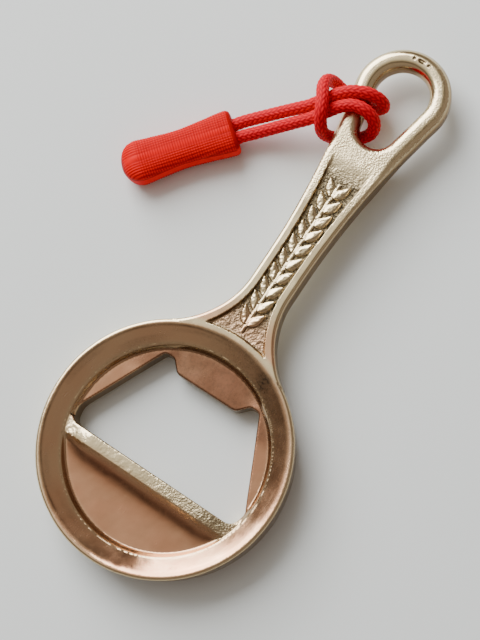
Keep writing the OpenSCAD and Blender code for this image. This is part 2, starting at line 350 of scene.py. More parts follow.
class Board:
    """A material's node tree, with short ways to add and join its nodes."""

    def __init__(self, name: str) -> None:
        """Starts a material with one surface shader.

        Args:
            name: The material's name.
        """
        self.material = bpy.data.materials.new(name)
        self.material.use_nodes = True
        self.tree = self.material.node_tree
        self.tree.nodes.clear()
        output = self.add("ShaderNodeOutputMaterial")
        self.shader = self.add("ShaderNodeBsdfPrincipled")
        self.tree.links.new(self.shader.outputs[0], output.inputs[0])

    def add(self, kind: str, inputs: dict | None = None, **settings: object) -> bpy.types.Node:
        """Adds a node.

        Args:
            kind: The node's type.
            inputs: Values or sockets for its inputs, by name or number.
            settings: The node's own settings.

        Returns:
            The node.
        """
        node = self.tree.nodes.new(kind)
        for key, value in settings.items():
            setattr(node, key, value)
        for key, value in (inputs or {}).items():
            self.put(node, key, value)
        return node

    def put(self, node: bpy.types.Node, key: str | int, value: object) -> None:
        """Joins a socket to a node's input, or sets the input's value.

        Args:
            node: The node.
            key: The input's name or number.
            value: A socket, or a value to set.
        """
        if isinstance(value, Socket):
            self.tree.links.new(value, node.inputs[key])
        else:
            node.inputs[key].default_value = (*value, 1) if node.inputs[key].type == "RGBA" else value

    def coat(self, **inputs: object) -> None:
        """Sets the shader's inputs, named with underscores for spaces."""
        for key, value in inputs.items():
            self.put(self.shader, key.replace("_", " "), value)

    def place(self) -> Socket:
        """The place on the piece, in metres."""
        return self.add("ShaderNodeTexCoord").outputs["Object"]

    def mark(self, name: str) -> Socket:
        """A value kept at the piece's vertices."""
        return self.add("ShaderNodeAttribute", attribute_name=name).outputs["Fac"]

    def stretched(self, vector: Socket, scale: Point, turn: float = 0.0) -> Socket:
        """A coordinate scaled along each axis, and turned about the third."""
        inputs = {"Vector": vector, "Scale": scale, "Rotation": (0, 0, turn)}
        return self.add("ShaderNodeMapping", inputs).outputs["Vector"]

    def noise(self, vector: Socket, pitch: float, detail: float = 2.0) -> Socket:
        """Noise whose features are about a pitch across."""
        inputs = {"Vector": vector, "Scale": 1 / pitch, "Detail": detail}
        return self.add("ShaderNodeTexNoise", inputs).outputs["Fac"]

    def pebbles(self, vector: Socket, pitch: float) -> Socket:
        """Distance from the middles of cells about a pitch across."""
        return self.add("ShaderNodeTexVoronoi", {"Vector": vector, "Scale": 1 / pitch}).outputs["Distance"]

    def sum(self, kind: str, a: object, b: object) -> Socket:
        """One arithmetic step, held from 0 to 1."""
        return self.add("ShaderNodeMath", {0: a, 1: b}, operation=kind, use_clamp=True).outputs[0]

    def spread(self, value: Socket, ends: tuple[float, ...]) -> Socket:
        """A value taken from the range of ends' first two numbers to the range of its last two."""
        inputs = dict(zip(("From Min", "From Max", "To Min", "To Max"), ends))
        return self.add("ShaderNodeMapRange", {"Value": value, **inputs}).outputs["Result"]

    def mix(self, share: object, a: object, b: object) -> Socket:
        """A colour between two colours."""
        return self.add("ShaderNodeMix", {0: share, 6: a, 7: b}, data_type="RGBA").outputs[2]

    def bump(self, height: object, depth: float, under: Socket | None = None) -> Socket:
        """A surface whose height runs over a depth in metres.

        Args:
            height: The height, from 0 to 1.
            depth: How deep 1 is.
            under: The surface that this one lies on.

        Returns:
            The surface's direction.
        """
        node = self.add("ShaderNodeBump", {"Height": height, "Distance": depth})
        if under is not None:
            self.put(node, "Normal", under)
        return node.outputs["Normal"]


@dataclass(frozen=True)
class PlatedMetal:
    """Pale champagne plating, darkened by tarnish where it was never polished, with reflections and shade
    painted into its colour.
    """

    bright: Colour = (0.75, 0.62, 0.385)
    # Coppery brown: a painted reflection of warm surroundings.
    copper_reflection: Colour = (0.66, 0.35, 0.20)
    # Dark brown: painted shade and dark reflection in the dish and on the tongue.
    dish_shade: Colour = (0.33, 0.150, 0.085)
    # Dark brown: painted dark reflection on the side walls.
    wall_reflection: Colour = (0.28, 0.185, 0.095)
    # Near black: tarnish in unpolished places, and painted shade.
    patina_and_shade: Colour = (0.055, 0.042, 0.028)
    polish: float = 0.17

    def material(self) -> bpy.types.Material:
        """Makes the material from five marks kept at the vertices: a painted coppery reflection, painted
        shade in the dish, painted dark reflection on the walls, tarnish mixed with painted shade, and how
        rough the metal is.

        Returns:
            The material.
        """
        board = Board("plated_metal")
        place = board.place()
        rough = board.mark("rough")
        cloud = board.noise(place, 9 * MM, 3)
        speck = board.noise(place, 0.5 * MM, 4)
        # Painted coppery reflection on the ring, the dish and the neck.
        copper_reflected = board.sum("MULTIPLY", board.mark("copper_reflection"), board.spread(cloud, (0.3, 0.7, 0.75, 1.15)))
        metal = board.mix(copper_reflected, self.bright, self.copper_reflection)
        # Painted shade and dark reflection in the dish and on the tongue.
        in_shade = board.sum("MULTIPLY", board.mark("dish_shade"), board.spread(cloud, (0.3, 0.7, 0.8, 1.1)))
        metal = board.mix(in_shade, metal, self.dish_shade)
        # Painted dark reflection on the side walls that face right.
        metal = board.mix(board.mark("wall"), metal, self.wall_reflection)
        fine_dirt = board.spread(speck, (0.45, 0.62, 0.0, 1.0))
        # Tarnish in the sunk field and the rough ledge, with painted shade in hollows and on the tongue and a
        # painted dark reflection on the ring.
        dirt_and_shade = board.sum("MULTIPLY", board.mark("patina_and_shade"), board.spread(fine_dirt, (0, 1, 0.62, 1.0)))
        board.coat(Base_Color=board.mix(dirt_and_shade, metal, self.patina_and_shade), Metallic=1.0)
        scratched = board.noise(board.stretched(place, (1, 0.06, 1), 0.5), 0.35 * MM, 2)
        dull = board.spread(board.noise(place, 4 * MM, 4), (0.3, 0.7, self.polish - 0.05, self.polish + 0.09))
        dull = board.sum("ADD", dull, board.spread(scratched, (0.55, 0.75, 0, 0.05)))
        dull = board.sum("ADD", dull, board.spread(rough, (0, 1, 0, 0.26)))
        board.coat(Roughness=board.sum("ADD", dull, board.spread(dirt_and_shade, (0, 1, 0, 0.2))))
        peel = board.bump(board.noise(place, 1.6 * MM, 3), 0.018 * MM)
        grit = board.sum("MULTIPLY", rough, board.pebbles(place, 0.33 * MM))
        pebbled = board.bump(grit, 0.14 * MM, peel)
        board.coat(Normal=board.bump(scratched, 0.0015 * MM, pebbled))
        return board.material


@dataclass(frozen=True)
class BraidedYarn:
    """Scarlet polyester yarn with a soft sheen, and shade painted between its strands."""

    lit: Colour = (0.96, 0.006, 0.020)
    faded: Colour = (0.84, 0.004, 0.016)
    # Painted shade between strands.
    deep: Colour = (0.32, 0.0, 0.008)
    glow: Colour = (1.0, 0.05, 0.06)

    def material(self) -> bpy.types.Material:
        """Makes the material, which reads the mark crown and the cord's own surface coordinates.

        Returns:
            The material.
        """
        board = Board("braided_yarn")
        surface = board.add("ShaderNodeUVMap", uv_map="UVMap").outputs["UV"]
        fibres = board.noise(board.stretched(surface, (90, 22, 1)), 1.0, 3)
        patch = board.noise(board.place(), 5 * MM, 2)
        lit = board.mix(board.spread(patch, (0.3, 0.7, 0, 0.5)), self.lit, self.faded)
        height = board.sum("MULTIPLY", board.mark("crown"), board.spread(fibres, (0.3, 0.6, 0.75, 1)))
        # Darker towards the gaps between strands: painted shade.
        board.coat(Base_Color=board.mix(height, self.deep, lit), Specular_IOR_Level=0.10)
        board.coat(Roughness=board.spread(fibres, (0.3, 0.7, 0.42, 0.62)))
        board.coat(Sheen_Weight=0.15, Sheen_Roughness=0.4, Sheen_Tint=self.glow)
        board.coat(Normal=board.bump(fibres, 0.05 * MM))
        return board.material


@dataclass(frozen=True)
class MouldedRubber:
    """Soft scarlet plastic with a fine moulded texture and a satin gloss, and shade painted in the texture's
    gaps.
    """

    body: Colour = (0.86, 0.004, 0.004)
    worn: Colour = (0.72, 0.003, 0.004)
    # Painted shade in the texture's gaps.
    gap: Colour = (0.22, 0.0, 0.002)

    def material(self) -> bpy.types.Material:
        """Makes the material, which reads the mark crown.

        Returns:
            The material.
        """
        board = Board("moulded_rubber")
        place = board.place()
        cloud = board.noise(place, 3 * MM, 3)
        crown = board.mark("crown")
        lit = board.mix(board.spread(cloud, (0.35, 0.7, 0, 0.5)), self.body, self.worn)
        # Darker in the texture's gaps: painted shade.
        board.coat(Base_Color=board.mix(board.spread(crown, (0, 1, 0.7, 0)), lit, self.gap))
        board.coat(Roughness=board.spread(cloud, (0.3, 0.7, 0.36, 0.48)), Specular_IOR_Level=0.06)
        board.coat(Normal=board.bump(board.noise(place, 0.12 * MM, 2), 0.01 * MM))
        return board.material


@dataclass(frozen=True)
class StudioPaper:
    """Plain pale paper under the object."""

    tone: Colour = (0.83, 0.88, 0.885)

    def material(self) -> bpy.types.Material:
        """Makes the material.

        Returns:
            The material.
        """
        board = Board("studio_paper")
        cloud = board.noise(board.place(), 200 * MM, 2)
        darker: Colour = tuple(0.96 * c for c in self.tone)
        board.coat(Base_Color=board.mix(board.spread(cloud, (0.3, 0.7, 0, 1)), self.tone, darker))
        board.coat(Roughness=0.75)
        return board.material


# ---- Camera and light ----


@dataclass
class Studio:
    """The camera, the soft lights and the pale floor.

    The camera stands above the opener's right side and is rolled, so that the handle runs up to the right.
    """

    aim: Point = (-1.18 * MM, -4.8 * MM, 6.8 * MM)
    distance: float = 264.2 * MM
    lean_right: float = math.radians(15.5)
    lean_down: float = math.radians(7.03)
    roll: float = math.radians(34)
    lens: float = 88.9
    floor_reach: float = 3.0
    bright_side: Point = (-0.50, 0.10, 0.86)
    air_strength: float = 1.15
    air: tuple[tuple[float, tuple[float, float, float, float]], ...] = (
        (0.00, (0.27, 0.225, 0.20, 1)),
        (0.48, (0.29, 0.24, 0.205, 1)),
        (0.65, (0.07, 0.052, 0.043, 1)),
        (0.82, (0.46, 0.41, 0.35, 1)),
        (1.00, (1.0, 0.98, 0.92, 1)),
    )

    def camera(self) -> bpy.types.Object:
        """Makes the camera and sets it as the scene's own.

        Returns:
            The camera.
        """
        back = Vector((
            math.sin(self.lean_right),
            -math.sin(self.lean_down) * math.cos(self.lean_right),
            math.cos(self.lean_down) * math.cos(self.lean_right),
        ))
        right = Vector((0, 1, 0)).cross(back).normalized()
        turned = Matrix.Rotation(self.roll, 3, back) @ Matrix((right, back.cross(right), back)).transposed()
        made = bpy.data.objects.new("camera", bpy.data.cameras.new("camera"))
        made.data.lens = self.lens
        made.data.clip_start = 10 * MM
        made.data.clip_end = 20
        made.matrix_world = Matrix.Translation(Vector(self.aim) + self.distance * back) @ turned.to_4x4()
        bpy.context.scene.collection.objects.link(made)
        bpy.context.scene.camera = made
        return made

    def softbox(self, name: str, place: Point, width: float, power: float) -> None:
        """Adds one square soft light that faces the object.

        Args:
            name: The light's name.
            place: Where it stands.
            width: Its side.
            power: Its power in watts.
        """
        light = bpy.data.lights.new(name, "AREA")
        light.size = width
        light.energy = power
        made = bpy.data.objects.new(name, light)
        made.location = place
        made.rotation_mode = "QUATERNION"
        made.rotation_quaternion = (-Vector(place)).to_track_quat("-Z", "Y")
        bpy.context.scene.collection.objects.link(made)

    def light(self) -> None:
        """Lights the object from the upper left and from behind, in a room pale above and dim around."""
        self.softbox("key", (-0.70, 0.35, 0.62), 0.80, 17.0)
        self.softbox("far", (-0.86, 0.52, 0.27), 0.50, 3.2)
        world = bpy.data.worlds.new("studio_air")
        world.use_nodes = True
        tree = world.node_tree
        place = tree.nodes.new("ShaderNodeTexCoord")
        facing = tree.nodes.new("ShaderNodeVectorMath")
        facing.operation = "DOT_PRODUCT"
        facing.inputs[1].default_value = Vector(self.bright_side).normalized()
        ramp = tree.nodes.new("ShaderNodeValToRGB")
        tree.links.new(place.outputs["Generated"], facing.inputs[0])
        tree.links.new(facing.outputs["Value"], ramp.inputs[0])
        tree.links.new(ramp.outputs[0], tree.nodes["Background"].inputs[0])
        stops = ramp.color_ramp.elements
        (_, stops[0].color), *between, (_, stops[1].color) = self.air
        for position, colour in between:
            stops.new(position).color = colour
        tree.nodes["Background"].inputs["Strength"].default_value = self.air_strength
        bpy.context.scene.world = world

    def floor(self) -> None:
        """Lays the pale floor at the height that the opener rests on."""
        reach = self.floor_reach
        corners = np.array([[-reach, -reach, 0], [reach, -reach, 0], [reach, reach, 0], [-reach, reach, 0]])
        made = mesh_object("studio_floor", corners, [[0, 1, 2, 3]])
        made.data.materials.append(StudioPaper().material())


# ---- The cord ----

# The cord's route in the frame of the limb that it is hitched on: across the limb towards the eye,
# up along it, and out of the face. It runs from the first bore, round the limb, to the second bore.
HITCH_ROUTE: tuple[Point, ...] = (
    (-0.0066, -0.0011, 0.0016), (-0.0049, 0.0001, 0.0021), (-0.0030, 0.0013, 0.0030),
    (-0.0008, 0.0022, 0.0035), (0.0016, 0.0027, 0.0032), (0.0036, 0.0028, 0.0017),
    (0.0042, 0.0026, -0.0004), (0.0032, 0.0026, -0.0024), (0.0012, 0.0027, -0.0034),
    (-0.0014, 0.0031, -0.0034), (-0.0038, 0.0037, -0.0023), (-0.0054, 0.0040, -0.0003),
    (-0.0062, 0.0032, 0.0021), (-0.0060, 0.0011, 0.0041), (-0.0051, -0.0012, 0.0048),
    (-0.0045, -0.0036, 0.0045), (-0.0041, -0.0052, 0.0027), (-0.0038, -0.0055, 0.0002),
    (-0.0029, -0.0050, -0.0021), (-0.0009, -0.0042, -0.0034), (0.0014, -0.0034, -0.0033),
    (0.0033, -0.0026, -0.0020), (0.0041, -0.0017, 0.0000), (0.0037, -0.0009, 0.0020),
    (0.0021, -0.0003, 0.0033), (0.0000, -0.0002, 0.0035), (-0.0022, -0.0010, 0.0030),
    (-0.0041, -0.0022, 0.0021), (-0.0057, -0.0033, 0.0016),
)
LEG_A_ROUTE: tuple[Point, ...] = (
    (-0.0078, -0.0020, 0.0013), (-0.0096, -0.0029, 0.0008), (-0.0118, -0.0039, 0.0000),
    (-0.0143, -0.0051, -0.0009), (-0.0168, -0.0064, -0.0016), (-0.0186, -0.0075, -0.0019),
)
LEG_B_ROUTE: tuple[Point, ...] = (
    (-0.0067, -0.0041, 0.0013), (-0.0085, -0.0051, 0.0008), (-0.0107, -0.0062, 0.0000),
    (-0.0131, -0.0074, -0.0009), (-0.0155, -0.0087, -0.0016), (-0.0171, -0.0096, -0.0019),
)


@dataclass
class PullSizes:
    """Sizes and place of the moulded pull, in the frame of the limb."""

    length: float = 21.0 * MM
    width: float = 8.2 * MM
    waist: float = 6.8 * MM
    thickness: float = 5.4 * MM
    mouth: tuple[float, float] = (-19.1 * MM, -9.5 * MM)
    turn: float = math.radians(218)
    bore_pitch: float = 2.5 * MM
    bore_depth: float = 8.6 * MM
    bore_gap: float = 0.05 * MM


@dataclass
class LimbFrame:
    """Where the cord is hitched: the joint's own place, with one axis along the limb."""

    lean: float = math.radians(12)
    origin: Array = field(init=False)
    axes: Array = field(init=False)

    def __post_init__(self) -> None:
        """Takes the place of the hitch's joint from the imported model."""
        joint = next(j for j in frame["joints"] if j["name"] == "hitch_turn")
        self.origin = np.array(joint["pos_m"])
        c, s = math.cos(self.lean), math.sin(self.lean)
        self.axes = np.array([[c, s, 0], [-s, c, 0], [0, 0, 1]])

    def placed(self, points: Sequence[Point] | Array) -> Array:
        """Points of the limb's frame in the part's frame."""
        return self.origin + np.asarray(points, float) @ self.axes


@dataclass
class BraidedCord:
    """The pull cord: a braid hitched on the limb, with both ends moulded into the pull."""

    limb: LimbFrame
    pull: PullSizes
    diameter: float = 2.3 * MM
    strands: int = 12
    cell_length: float = 0.50 * MM
    relief: float = 0.13 * MM
    around: int = 84
    ring_gap: float = 0.11 * MM
    blend_from: float = 7.3 * MM
    blend_to: float = 8.9 * MM
    blend_heading: Point = (-0.86, -0.51, 0.0)
    line: Array = field(init=False)

    def __post_init__(self) -> None:
        """Works out the cord's middle line."""
        self.line = self.middle_line()

    def bore_points(self, side: int) -> Array:
        """Where one end runs in its bore, from the mouth to the bottom.

        Args:
            side: 1 for the first end's bore and -1 for the second's.

        Returns:
            Three points, in the frame of the limb.
        """
        depth = np.array([0.0, 3.0 * MM, self.pull.bore_depth])[:, None]
        c, s = math.cos(self.pull.turn), math.sin(self.pull.turn)
        mouth = np.array([*self.pull.mouth, self.pull.thickness / 2 - self.limb.origin[2]])
        return mouth + side * self.pull.bore_pitch / 2 * np.array([s, -c, 0]) + depth * np.array([c, s, 0])

    def middle_line(self) -> Array:
        """The cord's middle line: a Catmull-Rom curve through the route's points, evenly spaced.

        Returns:
            Points a ring's gap apart.
        """
        leg_a = np.concatenate([LEG_A_ROUTE, self.bore_points(1)])
        leg_b = np.concatenate([LEG_B_ROUTE, self.bore_points(-1)])
        route = self.limb.placed(np.concatenate([leg_a[::-1], HITCH_ROUTE, leg_b]))
        padded = np.concatenate([route[:1], route, route[-1:]])
        a, b, c, d = (padded[i : len(padded) - 3 + i, None, :] for i in range(4))
        t = np.linspace(0, 1, 40, endpoint=False)[None, :, None]
        square, cube = 2 * a - 5 * b + 4 * c - d, 3 * b - a - 3 * c + d
        curve = (2 * b + (c - a) * t + square * t**2 + cube * t**3) / 2
        dense = np.concatenate([curve.reshape(-1, 3), route[-1:]])
        for _ in range(60):
            dense[1:-1] += 0.5 * ((dense[:-2] + dense[2:]) / 2 - dense[1:-1])
        along = np.concatenate([[0], np.cumsum(np.linalg.norm(np.diff(dense, axis=0), axis=1))])
        even = np.linspace(0, along[-1], int(along[-1] / self.ring_gap) + 1)
        return np.stack([np.interp(even, along, dense[:, k]) for k in range(3)], axis=1)

    def length(self) -> float:
        """The cord's length from end to end."""
        return float(np.linalg.norm(np.diff(self.line, axis=0), axis=1).sum())

    def carried_axes(self) -> tuple[Array, Array]:
        """Two directions across the line at each point, carried along it without twist.

        Returns:
            The two directions, one row for each point.
        """
        ahead = np.gradient(self.line, axis=0)
        ahead /= np.linalg.norm(ahead, axis=1, keepdims=True)
        across = np.empty_like(ahead)
        side = np.cross(ahead[0], (0.1, 0.2, 1.0))
        for i, heading in enumerate(ahead):
            side = side - heading * (side @ heading)
            side /= np.linalg.norm(side)
            across[i] = side
        return across, np.cross(ahead, across)

    def braid(self, angle: Array, along: Array) -> Array:
        """Height of the braid's surface from 0, between strands, to 1, on a strand's crown.

        Two sets of strands wind opposite ways, and each goes over two of the other and under two. A strand's
        section is half a circle, and each float bulges in the middle of its run.

        Args:
            angle: Angle round the cord.
            along: Distance along the cord.

        Returns:
            The height at each place.
        """
        turned = angle / (2 * math.pi) * self.strands
        run = along / self.cell_length / 2
        a, b = turned + run, turned - run
        over = (np.floor(a) + np.floor(b)) % 4 < 2
        across_a = np.sqrt(np.clip(1 - (2 * (a % 1) - 1) ** 2, 0, 1))
        across_b = np.sqrt(np.clip(1 - (2 * (b % 1) - 1) ** 2, 0, 1))
        float_a = np.sin(math.pi * np.clip((b + np.floor(a)) % 4 / 2, 0, 1))
        float_b = np.sin(math.pi * np.clip(((a + np.floor(b)) % 4 - 2) / 2, 0, 1))
        return np.where(over, across_a * (0.3 + 0.7 * float_a), across_b * (0.3 + 0.7 * float_b))

    def build(self) -> bpy.types.Object:
        """Makes the cord: the braid's height on a round section, carried along the middle line.

        Returns:
            The cord.
        """
        across, up = self.carried_axes()
        rings = len(self.line)
        along = np.linspace(0, self.length(), rings)[:, None]
        angle = np.linspace(0, 2 * math.pi, self.around, endpoint=False)[None, :]
        # The braid's height; the material paints shade where it is low.
        crown = self.braid(angle, along)
        end = np.minimum(along, along[-1] - along)
        drawn = 0.75 + 0.25 * smooth_step(0, 0.6 * MM, end)
        radius = (self.diameter / 2 - self.relief * (1 - crown)) * drawn
        out = np.cos(angle)[..., None] * across[:, None, :] + np.sin(angle)[..., None] * up[:, None, :]
        points = (self.line[:, None, :] + radius[..., None] * out).reshape(-1, 3)
        sides = grid_faces(rings, self.around)
        first = np.arange(self.around)[::-1]
        last = (rings - 1) * self.around + np.arange(self.around)
        row, column = np.divmod(sides, self.around)
        column = np.where((column == 0) & (np.arange(4) % 3 > 0), self.around, column)
        uv = np.stack([column / self.around, row * self.ring_gap / (math.pi * self.diameter)], axis=-1)
        uv = np.concatenate([uv.reshape(-1, 2), np.zeros((2 * self.around, 2))])
        faces = [*sides.tolist(), first.tolist(), last.tolist()]
        made = mesh_object("pull_cord", points, faces, {"crown": crown.ravel()}, uv)
        made.data.materials.append(BraidedYarn().material())
        towards = np.array(self.blend_heading) / math.hypot(*self.blend_heading)
        start, stop = (self.limb.placed(d * towards).tolist() for d in (self.blend_from, self.blend_to))
        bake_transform(made)
        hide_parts("cord_hitch", "cord_legs")
        return made

    def declare(self) -> None:
        """Works out the cord's length, and keeps nothing of it.
        """
        self.length()


# ---- The pull ----


@dataclass
class MouldedPull:
    """The soft plastic pull: flattened, waisted, textured on its two broad faces and bored for the cord."""

    limb: LimbFrame
    sizes: PullSizes
    cord_d: float = 2.3 * MM
    squareness: float = 0.62
    grid_pitch: float = 0.46 * MM
    grid_h: float = 0.13 * MM
    rib_from: float = 0.84
    rim_r: float = 0.8 * MM
    rings: int = 230
    around: int = 208
    bore_sides: int = 40

    def tail(self, share: Array, start: float, power: float, blunt: float) -> Array:
        """How the far end rounds off past a share of the length, as a superellipse down to a blunt face."""
        past = np.clip((share - start) / (1 - start), 0, 1)
        return np.sqrt(np.maximum(blunt, 1 - past**power))

    def section(self, share: Array) -> tuple[Array, Array]:
        """Half the width and half the thickness at a share of the length.

        The width draws in by a squared cosine to the waist and comes out again before the end. The mouth's
        edge is rounded.

        Args:
            share: Share of the length from the mouth.

        Returns:
            Half the width and half the thickness.
        """
        swell = np.cos(math.pi * np.minimum(1, share / 0.95)) ** 2
        half = (self.sizes.waist + (self.sizes.width - self.sizes.waist) * swell) / 2
        edge = np.clip(1 - share * self.sizes.length / self.rim_r, 0, 1)
        drawn = self.grid_h + self.rim_r * (1 - np.sqrt(1 - edge * edge))
        wide = (half - drawn) * self.tail(share, 0.80, 2.4, 0.002)
        thick = (self.sizes.thickness / 2 - drawn) * self.tail(share, 0.84, 2.2, 0.004)
        return wide, thick

    def texture(self, share: Array, across: Array, flatness: Array) -> Array:
        """Height of the moulded texture: a grid of small cushions that turns into ribs near the far end.

        A cushion is the product of a sine along the pull and one across it, and a rib is the one across.

        Args:
            share: Share of the length from the mouth.
            across: Distance from the middle line, measured round the section.
            flatness: 1 on the broad faces and 0 on the side walls.

        Returns:
            The height from 0 to 1.
        """
        along = share * self.sizes.length
        lengthways = np.abs(np.sin(math.pi * along / self.grid_pitch)) ** 0.8
        crossways = np.abs(np.cos(math.pi * across / self.grid_pitch)) ** 0.8
        ribbed = smooth_step(self.rib_from - 0.03, self.rib_from + 0.03, share)
        height = crossways * (lengthways * (1 - ribbed) + ribbed)
        clear = smooth_step(self.rim_r * 0.7, self.rim_r, along) * (1 - smooth_step(0.955, 0.99, share))
        return height * clear * flatness

    def build(self) -> bpy.types.Object:
        """Makes the pull: its section carried along its length, with the texture raised and the bores cut.

        Returns:
            The pull, riding on its body.
        """
        share = (1 - np.cos(np.linspace(0, math.pi, self.rings))) / 2
        share = (0.15 * share + 0.85 * np.linspace(0, 1, self.rings))[:, None]
        turn = np.linspace(0, 2 * math.pi, self.around, endpoint=False)[None, :]
        wide, thick = self.section(share)
        c, s = np.cos(turn), np.sin(turn)
        y = wide * np.sign(c) * np.abs(c) ** self.squareness
        z = thick * np.sign(s) * np.abs(s) ** self.squareness
        x = share * self.sizes.length + 0 * y
        flatness = smooth_step(0.35, 0.65, np.abs(z) / np.maximum(thick, 1e-6))
        raised = self.texture(share, y, flatness)
        out_y = y / wide**2
        out_z = z / thick**2
        long = np.hypot(out_y, out_z)
        y = y + raised * self.grid_h * out_y / long
        z = z + raised * self.grid_h * out_z / long
        points = np.stack([x, y, z], axis=-1).reshape(-1, 3)
        last = (self.rings - 1) * self.around
        caps = [list(range(self.around)), [last + k for k in reversed(range(self.around))]]
        faces = [*grid_faces(self.rings, self.around)[:, ::-1].tolist(), *caps]
        # Where this mark is low, the material paints shade.
        crown = np.where(raised > 0, raised, 1 - flatness)
        made = mesh_object("moulded_pull", points, faces, {"crown": crown.ravel()})
        for side in (-1, 1):
            self.bore(made, side * self.sizes.bore_pitch / 2)
        mouth = np.array([*self.sizes.mouth, self.sizes.thickness / 2 - self.limb.origin[2]])
        turned = Matrix.Rotation(self.limb.lean + self.sizes.turn, 4, "Z")
        made.data.transform(Matrix.Translation(self.limb.placed(mouth)) @ turned)
        made.data.shade_smooth()
        made.data.materials.append(MouldedRubber().material())
        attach(made, Body.PULL.value)
        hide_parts("pull_tip")
        return made

    def bore(self, pull: bpy.types.Object, across: float) -> None:
        """Cuts one blind bore into the pull's mouth.

        Args:
            pull: The pull, before it is put in place.
            across: Distance of the bore from the pull's middle line.
        """
        sides = self.bore_sides
        turn = np.linspace(0, 2 * math.pi, sides, endpoint=False)
        radius = self.cord_d / 2 + self.sizes.bore_gap
        ring = np.stack([0 * turn, across + radius * np.cos(turn), radius * np.sin(turn)], axis=1)
        points = np.concatenate([ring - [1 * MM, 0, 0], ring + [self.sizes.bore_depth, 0, 0]])
        caps = [list(range(sides)), [sides + k for k in reversed(range(sides))]]
        cutter = mesh_object("bore_cutter", points, [*grid_faces(2, sides)[:, ::-1].tolist(), *caps])
        cut = pull.modifiers.new("bore", "BOOLEAN")
        cut.operation = "DIFFERENCE"
        cut.solver = "EXACT"
        cut.object = cutter
        shown = bpy.context.evaluated_depsgraph_get()
        before = pull.data
        pull.data = bpy.data.meshes.new_from_object(pull.evaluated_get(shown))
        pull.modifiers.clear()
        bpy.data.meshes.remove(before)
        bpy.data.objects.remove(cutter)


# ---- The casting ----


